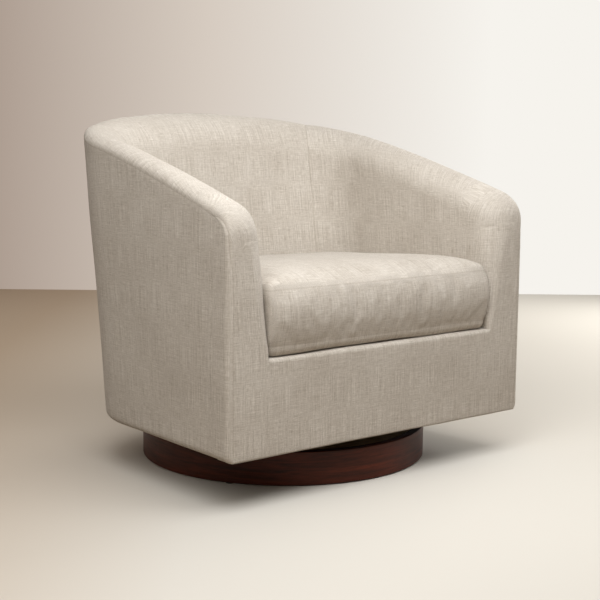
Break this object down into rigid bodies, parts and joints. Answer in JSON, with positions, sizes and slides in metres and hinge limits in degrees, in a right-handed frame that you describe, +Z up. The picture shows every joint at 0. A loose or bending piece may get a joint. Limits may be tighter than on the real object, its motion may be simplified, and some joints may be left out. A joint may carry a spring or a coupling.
{
  "type": "swivel barrel chair",
  "caption": "Upholstered barrel armchair with a wraparound back and sloping arms, a loose boxed seat cushion and a ball-bearing swivel on a round wooden plinth.",
  "frame": {"origin": "on the floor under the swivel axis", "axes": "+Z up, the chair's front faces -Y, +X is the right-hand side seen from the front"},
  "size_m": [0.749, 0.6726, 0.6875],
  "materials": {
    "linen_weave": "woven linen look, matte",
    "walnut_veneer": "dark walnut, satin lacquer",
    "birch_plywood": "raw",
    "softwood": "raw",
    "black_plastic": "matte",
    "pressed_steel": "zinc plated",
    "bearing_steel": "polished",
    "spring_steel": "oiled",
    "foam": "cut foam",
    "batting": "polyester wadding",
    "black_cambric": "non-woven",
    "zip_tape": "woven tape",
    "zip_metal": "antique"
  },
  "bodies": {
    "base": {"plinth_ring": "walnut_veneer", "plinth_top_board": "birch_plywood", "plinth_glue_blocks": "softwood", "floor_glides": "black_plastic", "lower_swivel_plate": "pressed_steel", "base_bolts": "pressed_steel", "base_nuts": "pressed_steel"},
    "ball_ring": {"ball_cage": "black_plastic", "bearing_balls": "bearing_steel"},
    "seat": {"arm_board_left": "birch_plywood", "arm_board_right": "birch_plywood", "arm_outer_padding_left": "batting", "arm_outer_padding_right": "batting", "arm_pad_left": "foam", "arm_pad_right": "foam", "arm_post_left": "softwood", "arm_post_right": "softwood", "arm_top_rail_left": "softwood", "arm_top_rail_right": "softwood", "back_board": "birch_plywood", "back_outer_padding": "batting", "back_pad": "foam", "back_rail": "softwood", "back_stile_left": "birch_plywood", "back_stile_right": "birch_plywood", "back_top_rail": "softwood", "board_cleats": "softwood", "corner_block_left": "softwood", "corner_block_right": "softwood", "corner_stile_left": "birch_plywood", "corner_stile_right": "birch_plywood", "deck_cover": "linen_weave", "deck_pad": "foam", "dust_cover": "black_cambric", "front_border": "linen_weave", "front_padding": "batting", "front_rail": "softwood", "inside_arm_cover_left": "linen_weave", "inside_arm_cover_right": "linen_weave", "inside_back_cover": "linen_weave", "mounting_board": "birch_plywood", "outer_cover_back": "linen_weave", "outer_cover_left": "linen_weave", "outer_cover_right": "linen_weave", "pivot_rivet": "pressed_steel", "seat_bolts": "pressed_steel", "seat_nuts": "pressed_steel", "seat_springs": "spring_steel", "side_rail_left": "softwood", "side_rail_right": "softwood", "spring_clips": "spring_steel", "upper_swivel_plate": "pressed_steel"},
    "cushion": {"cushion_cover": "linen_weave", "cushion_core": "foam", "cushion_zip": "zip_tape"},
    "slider": {"zip_slider": "zip_metal"}
  },
  "joints": [
    {"name": "seat_swivel", "type": "hinge", "parent": "base", "child": "seat", "pos_m": [0, 0, 0.0777], "axis": [0, 0, 1], "continuous": true},
    {"name": "ball_ring_roll", "type": "hinge", "parent": "base", "child": "ball_ring", "pos_m": [0, 0, 0.0777], "axis": [0, 0, 1], "continuous": true},
    {"name": "cushion_lift", "type": "slide", "parent": "seat", "child": "cushion", "axis": [0, 0, 1], "range_m": [0, 0.3]},
    {"name": "zip_run", "type": "hinge", "parent": "cushion", "child": "slider", "pos_m": [0, -0.496, 0.336], "axis": [0, 0, 1], "range_deg": [0, 26.2]}
  ],
  "couplings": [
    {"joint": "ball_ring_roll", "follows": "seat_swivel", "ratio": 0.5}
  ]
}
